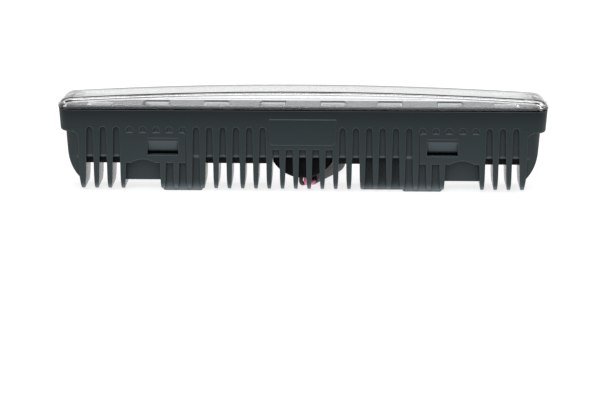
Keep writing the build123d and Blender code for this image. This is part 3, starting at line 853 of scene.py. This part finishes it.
def lensTop(x, margin):
    # height of a skin over the lamp's length: a long bow, then a tighter curve at each end
    end = lens["halfX"] - margin
    turn = end - lens["endRun"]
    bowRadius = (end**2 + lens["bow"] ** 2) / (2 * lens["bow"])
    bowCentre = lens["apex"] - margin - bowRadius
    x = abs(x)
    if x <= turn:
        return bowCentre + math.sqrt(bowRadius**2 - x**2)
    turnZ = bowCentre + math.sqrt(bowRadius**2 - turn**2)
    slope = math.asin(turn / bowRadius)
    chord = math.atan2(lens["endDrop"], lens["endRun"])
    radius = math.hypot(lens["endRun"], lens["endDrop"]) / (2 * math.sin(chord - slope))
    centreX = turn - radius * math.sin(slope)
    centreZ = turnZ - radius * math.cos(slope)
    return centreZ + math.sqrt(max(radius**2 - (x - centreX) ** 2, 0.0))


def lensSkin(sample, margin, startZ, radius):
    # points of one skin from the wall's foot over the rounded edge to the middle line
    foot = lens["bodyInset"] + margin
    edge = lensPlan(sample, foot)
    lean = (lensTop(edge[0], margin) - radius - startZ) * lens["draft"]
    points = [(*edge, startZ)]
    for i in range(lens["roundSteps"] + 1):
        turn = math.pi / 2 * i / lens["roundSteps"]
        x, y = lensPlan(sample, foot + lean + radius * (1 - math.cos(turn)))
        points.append((x, y, lensTop(x, margin) - radius * (1 - math.sin(turn))))
    last = foot + lean + radius
    for i in range(1, lens["topSteps"] + 1):
        x, y = lensPlan(sample, last + (lens["halfY"] - last) * i / lens["topSteps"])
        points.append((x, y, lensTop(x, margin)))
    return points


def lensSection(sample):
    outside = lensSkin(sample, 0.0, lens["flangeTop"], lens["edgeRound"])
    inside = lensSkin(sample, lens["wall"], lens["flangeTop"], lens["innerRound"])
    flange = lensPlan(sample, lens["flangeInset"])
    skirt = lensPlan(sample, lens["skirtInset"])
    skirtInside = lensPlan(sample, lens["skirtInset"] + lens["wall"])
    seat = [
        (*flange, lens["flangeTop"]),
        (*flange, lens["flangeLow"]),
        (*skirt, lens["flangeLow"]),
        (*skirt, lens["skirtLow"]),
        (*skirtInside, lens["skirtLow"]),
        (*skirtInside, lens["flangeTop"]),
    ]
    return outside[::-1] + seat + inside


def lensMesh():
    shape = bmesh.new()
    rows = []
    for sample in lensOutline():
        rows.append([shape.verts.new((x * mm, y * mm, z * mm)) for x, y, z in lensSection(sample)])
    for row, following in zip(rows, rows[1:] + rows[:1]):
        for i in range(len(row) - 1):
            shape.faces.new((row[i], row[i + 1], following[i + 1], following[i]))
    bmesh.ops.remove_doubles(shape, verts=shape.verts, dist=lens["weld"] * mm)
    bmesh.ops.recalc_face_normals(shape, faces=shape.faces)
    mesh = bpy.data.meshes.new("clearLens")
    shape.to_mesh(mesh)
    shape.free()
    mesh.shade_smooth()
    mesh.set_sharp_from_angle(angle=lens["sharpAngle"])
    return mesh


lensLook = {
    "colour": (0.965, 0.975, 0.978, 1.0),
    "ior": 1.58,
    "hazeScale": 60.0,
    "hazeDetail": 3.0,
    "hazeBand": (0.35, 0.75),
    "smooth": 0.0,
    "rough": 0.02,
}


def lensMaterial():
    material, tree, shader = newMaterial("clearLens")
    haze = noiseNode(tree, objectPoint(tree), lensLook["hazeScale"], lensLook["hazeDetail"])
    rough = rampNode(tree, haze, *lensLook["hazeBand"], lensLook["smooth"], lensLook["rough"])
    tree.links.new(rough, shader.inputs["Roughness"])
    shader.inputs["Base Color"].default_value = lensLook["colour"]
    shader.inputs["Transmission Weight"].default_value = 1.0
    shader.inputs["IOR"].default_value = lensLook["ior"]
    # shadow and diffuse rays go straight through, so light reaches the optics
    rays = tree.nodes.new("ShaderNodeLightPath")
    passing = mathNode(tree, "MAXIMUM", rays.outputs["Is Shadow Ray"], rays.outputs["Is Diffuse Ray"])
    clear = tree.nodes.new("ShaderNodeBsdfTransparent")
    blend = tree.nodes.new("ShaderNodeMixShader")
    tree.links.new(passing, blend.inputs[0])
    tree.links.new(shader.outputs[0], blend.inputs[1])
    tree.links.new(clear.outputs[0], blend.inputs[2])
    output = tree.nodes["Material Output"]
    tree.links.new(blend.outputs[0], output.inputs["Surface"])
    return material


addPiece("clearLens", lensMesh(), lensMaterial(), "clear_lens", "lens_cover")
print("lens moulded")

# four pairs of wings: parabola with flutes on its outer part, floor round the emitter, thin end walls
insertLow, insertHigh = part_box("reflector_1")
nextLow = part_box("reflector_2")[0]
wings = {
    "pairCount": 4,
    "pairPitch": nextLow.x - insertLow.x,
    "wingOuter": (insertHigh.x - insertLow.x) / 2 - 0.8 * mm,
    "halfDepth": insertHigh.y,
    "endWall": 0.45 * mm,
    "endDraft": math.tan(math.radians(8.0)),
    "rimHeight": insertHigh.z,
    "floorHeight": insertLow.z + 0.5 * mm,
    "baseHeight": insertLow.z,
    "focusHeight": insertLow.z + 1.233 * mm,
    "fluteStart": 8.4 * mm,
    "fluteCount": 6,
    "fluteHeight": 0.26 * mm,
    "wall": 0.9 * mm,
    "acrossSteps": 241,
    "depthSteps": 13,
    "weld": 0.001 * mm,
    "sharpAngle": math.radians(32.0),
}


def wingsTree():
    tree, start, finish = geometryTree("flutedWings", [
        ("Pair Count", "NodeSocketInt"),
        ("Pair Pitch", "NodeSocketFloat"),
        ("Wing Outer", "NodeSocketFloat"),
        ("Half Depth", "NodeSocketFloat"),
        ("End Wall", "NodeSocketFloat"),
        ("End Draft", "NodeSocketFloat"),
        ("Rim Height", "NodeSocketFloat"),
        ("Floor Height", "NodeSocketFloat"),
        ("Base Height", "NodeSocketFloat"),
        ("Focus Height", "NodeSocketFloat"),
        ("Focal Length", "NodeSocketFloat"),
        ("Flute Start", "NodeSocketFloat"),
        ("Flute Count", "NodeSocketInt"),
        ("Flute Height", "NodeSocketFloat"),
        ("Wall", "NodeSocketFloat"),
        ("Across Steps", "NodeSocketInt"),
        ("Depth Steps", "NodeSocketInt"),
        ("Material", "NodeSocketMaterial"),
    ])
    links = tree.links
    given = start.outputs

    def work(operation, first, second=None):
        return mathNode(tree, operation, first, second)

    def times(*factors):
        return product(tree, *factors)

    grid = tree.nodes.new("GeometryNodeMeshGrid")
    grid.inputs["Size X"].default_value = 1.0
    grid.inputs["Size Y"].default_value = 1.0
    links.new(given["Across Steps"], grid.inputs["Vertices X"])
    links.new(given["Depth Steps"], grid.inputs["Vertices Y"])
    place = splitVector(tree, tree.nodes.new("GeometryNodeInputPosition").outputs[0])

    # width: wing profile over x
    x = times(place["X"], given["Wing Outer"], 2.0)
    reach = work("ABSOLUTE", x)
    bowl = work("DIVIDE", times(x, x), times(given["Focal Length"], 4.0))
    bowl = work("ADD", bowl, work("SUBTRACT", given["Focus Height"], given["Focal Length"]))
    fluteRun = work("SUBTRACT", given["Wing Outer"], given["Flute Start"])
    fluteShare = work("DIVIDE", work("SUBTRACT", reach, given["Flute Start"]), fluteRun)
    phase = work("FRACT", times(fluteShare, given["Flute Count"]))
    crest = times(phase, work("SUBTRACT", 1.0, phase), 4.0)
    fluted = work("GREATER_THAN", fluteShare, 0.0)
    bowl = work("ADD", bowl, times(crest, fluted, given["Flute Height"]))
    profile = work("MINIMUM", work("MAXIMUM", bowl, given["Floor Height"]), given["Rim Height"])

    # depth: the rows at each side are the top of the end wall, whose inner face leans outwards
    wallRows = 2
    rows = work("SUBTRACT", given["Depth Steps"], 1.0)
    row = work("ROUND", times(work("ADD", place["Y"], 0.5), rows))
    fromEdge = work("MINIMUM", row, work("SUBTRACT", rows, row))
    side = work("SIGN", place["Y"])
    inner = work("SUBTRACT", given["Half Depth"], given["End Wall"])
    share = work("DIVIDE", work("SUBTRACT", row, wallRows), work("SUBTRACT", rows, 2 * wallRows))
    lean = times(work("SUBTRACT", given["Rim Height"], profile), given["End Draft"])
    bowlY = times(work("SUBTRACT", times(share, 2.0), 1.0), work("SUBTRACT", inner, lean))
    onWall = work("LESS_THAN", fromEdge, wallRows - 0.5)
    inBowl = work("SUBTRACT", 1.0, onWall)
    outermost = work("LESS_THAN", fromEdge, 0.5)
    wallY = times(side, work("ADD", inner, times(outermost, given["End Wall"])))
    y = work("ADD", times(onWall, wallY), times(inBowl, bowlY))
    z = work("ADD", times(onWall, given["Rim Height"]), times(inBowl, profile))
    below = work("MAXIMUM", work("SUBTRACT", profile, given["Wall"]), given["Base Height"])

    # upper sheet and an extruded underside, welded into one closed pair of wings
    upperPoint = tree.nodes.new("ShaderNodeCombineXYZ")
    lowerPoint = tree.nodes.new("ShaderNodeCombineXYZ")
    for target, height in ((upperPoint, z), (lowerPoint, below)):
        links.new(x, target.inputs["X"])
        links.new(y, target.inputs["Y"])
        links.new(height, target.inputs["Z"])
    keep = tree.nodes.new("GeometryNodeCaptureAttribute")
    keep.capture_items.new("VECTOR", "Upper")
    keep.capture_items.new("VECTOR", "Lower")
    links.new(grid.outputs["Mesh"], keep.inputs["Geometry"])
    links.new(upperPoint.outputs[0], keep.inputs["Upper"])
    links.new(lowerPoint.outputs[0], keep.inputs["Lower"])
    upper = tree.nodes.new("GeometryNodeSetPosition")
    links.new(keep.outputs["Geometry"], upper.inputs["Geometry"])
    links.new(keep.outputs["Upper"], upper.inputs["Position"])
    under = tree.nodes.new("GeometryNodeExtrudeMesh")
    under.inputs["Individual"].default_value = False
    under.inputs["Offset Scale"].default_value = 0.0
    links.new(keep.outputs["Geometry"], under.inputs["Mesh"])
    lower = tree.nodes.new("GeometryNodeSetPosition")
    links.new(under.outputs["Mesh"], lower.inputs["Geometry"])
    links.new(under.outputs["Top"], lower.inputs["Selection"])
    links.new(keep.outputs["Lower"], lower.inputs["Position"])
    foot = tree.nodes.new("GeometryNodeSetPosition")
    notTop = tree.nodes.new("FunctionNodeBooleanMath")
    notTop.operation = "NOT"
    links.new(under.outputs["Top"], notTop.inputs[0])
    links.new(lower.outputs[0], foot.inputs["Geometry"])
    links.new(notTop.outputs[0], foot.inputs["Selection"])
    links.new(keep.outputs["Upper"], foot.inputs["Position"])
    flip = tree.nodes.new("GeometryNodeFlipFaces")
    links.new(foot.outputs[0], flip.inputs["Mesh"])
    join = tree.nodes.new("GeometryNodeJoinGeometry")
    for sheet, front in ((flip, 0.0), (upper, 1.0)):
        mark = tree.nodes.new("GeometryNodeStoreNamedAttribute")
        mark.data_type = "FLOAT"
        mark.inputs["Name"].default_value = "frontFace"
        mark.inputs["Value"].default_value = front
        links.new(sheet.outputs[0], mark.inputs["Geometry"])
        links.new(mark.outputs[0], join.inputs[0])
    weld = tree.nodes.new("GeometryNodeMergeByDistance")
    weld.inputs["Distance"].default_value = wings["weld"]
    links.new(join.outputs[0], weld.inputs["Geometry"])

    # row of pairs, centred on the lamp
    line = tree.nodes.new("GeometryNodeMeshLine")
    links.new(given["Pair Count"], line.inputs["Count"])
    first = tree.nodes.new("ShaderNodeCombineXYZ")
    step = tree.nodes.new("ShaderNodeCombineXYZ")
    gaps = work("SUBTRACT", given["Pair Count"], 1.0)
    links.new(times(gaps, -0.5, given["Pair Pitch"]), first.inputs["X"])
    links.new(given["Pair Pitch"], step.inputs["X"])
    links.new(first.outputs[0], line.inputs["Start Location"])
    links.new(step.outputs[0], line.inputs["Offset"])
    pairs = tree.nodes.new("GeometryNodeInstanceOnPoints")
    links.new(line.outputs[0], pairs.inputs["Points"])
    links.new(weld.outputs[0], pairs.inputs["Instance"])
    finishTree(tree, start, finish, pairs.outputs[0])
    return tree


def makeWings():
    material = skinMaterial("metallisedReflector", reflectorLook)
    mesh = bpy.data.meshes.new("flutedWingsSeed")
    holder = bpy.data.objects.new("flutedWingsSeed", mesh)
    scene.collection.objects.link(holder)
    modifier = holder.modifiers.new("flutedWings", "NODES")
    modifier.node_group = wingsTree()
    drop = wings["focusHeight"] - wings["rimHeight"]
    focalLength = (drop + math.hypot(drop, wings["wingOuter"])) / 2
    setInputs(modifier, {
        "Pair Count": wings["pairCount"],
        "Pair Pitch": wings["pairPitch"],
        "Wing Outer": wings["wingOuter"],
        "Half Depth": wings["halfDepth"],
        "End Wall": wings["endWall"],
        "End Draft": wings["endDraft"],
        "Rim Height": wings["rimHeight"],
        "Floor Height": wings["floorHeight"],
        "Base Height": wings["baseHeight"],
        "Focus Height": wings["focusHeight"],
        "Focal Length": focalLength,
        "Flute Start": wings["fluteStart"],
        "Flute Count": wings["fluteCount"],
        "Flute Height": wings["fluteHeight"],
        "Wall": wings["wall"],
        "Across Steps": wings["acrossSteps"],
        "Depth Steps": wings["depthSteps"],
        "Material": material,
    })
    mesh = plainMesh(holder, "flutedWings")
    bpy.data.objects.remove(holder)
    mesh.shade_smooth()
    mesh.set_sharp_from_angle(angle=wings["sharpAngle"])
    addPiece(
        "flutedWings", mesh, material, "metallised_reflector",
        "reflector_1", "reflector_2", "reflector_3", "reflector_4",
    )


makeWings()
print("reflector wings fluted")

# stage: white floor that keeps a shadow, white surroundings, soft lamps
stage = {
    "floorHalf": 4.0,
    "floorColour": (0.42, 0.42, 0.42, 1.0),
    "floorRough": 0.9,
    "floorGlow": 0.76,
    "floorBounce": 0.9,
    "worldSeen": 0.78,
    "worldLight": 0.42,
    "white": (1.0, 1.0, 1.0, 1.0),
    "lamps": [  # name, place, target, size and power
        ("topSoftbox", (0.0, -0.5, 1.3), (0.0, 0.0, 0.0), 1.2, 3.5),
        ("frontSoftbox", (-0.15, -1.25, 1.0), (0.0, 0.0, 0.02), 0.9, 9.0),
        ("rightSoftbox", (1.2, 0.2, 0.6), (0.0, 0.0, 0.02), 0.8, 4.0),
    ],
}


def seenInView(tree):
    # by the camera, or in metal and glass
    rays = tree.nodes.new("ShaderNodeLightPath")
    glossy = rays.outputs["Is Glossy Ray"]
    through = mathNode(tree, "MAXIMUM", glossy, rays.outputs["Is Transmission Ray"])
    return mathNode(tree, "MAXIMUM", rays.outputs["Is Camera Ray"], through)


def makeFloor():
    mesh = bpy.data.meshes.new("floor")
    half = stage["floorHalf"]
    corners = [(-half, -half, 0), (half, -half, 0), (half, half, 0), (-half, half, 0)]
    mesh.from_pydata(corners, [], [(0, 1, 2, 3)])
    floor = bpy.data.objects.new("floor", mesh)
    scene.collection.objects.link(floor)
    material, tree, shader = newMaterial("floorWhite")
    shader.inputs["Base Color"].default_value = stage["floorColour"]
    shader.inputs["Roughness"].default_value = stage["floorRough"]
    shader.inputs["Emission Color"].default_value = stage["white"]
    glow = rampNode(tree, seenInView(tree), 0.0, 1.0, stage["floorBounce"], stage["floorGlow"])
    tree.links.new(glow, shader.inputs["Emission Strength"])
    mesh.materials.append(material)


def makeWorld():
    world = bpy.data.worlds.new("whiteStudio")
    scene.world = world
    world.use_nodes = True
    tree = world.node_tree
    background = tree.nodes["Background"]
    background.inputs["Color"].default_value = stage["white"]
    strength = rampNode(tree, seenInView(tree), 0.0, 1.0, stage["worldLight"], stage["worldSeen"])
    tree.links.new(strength, background.inputs["Strength"])


def makeLamps():
    for name, place, target, size, power in stage["lamps"]:
        data = bpy.data.lights.new(name, "AREA")
        data.size = size
        data.energy = power
        lamp = bpy.data.objects.new(name, data)
        scene.collection.objects.link(lamp)
        lamp.location = place
        lamp.rotation_euler = (Vector(target) - Vector(place)).to_track_quat("-Z", "Y").to_euler()


makeFloor()
makeWorld()
makeLamps()
scene.view_settings.view_transform = "Standard"
print("stage lit")
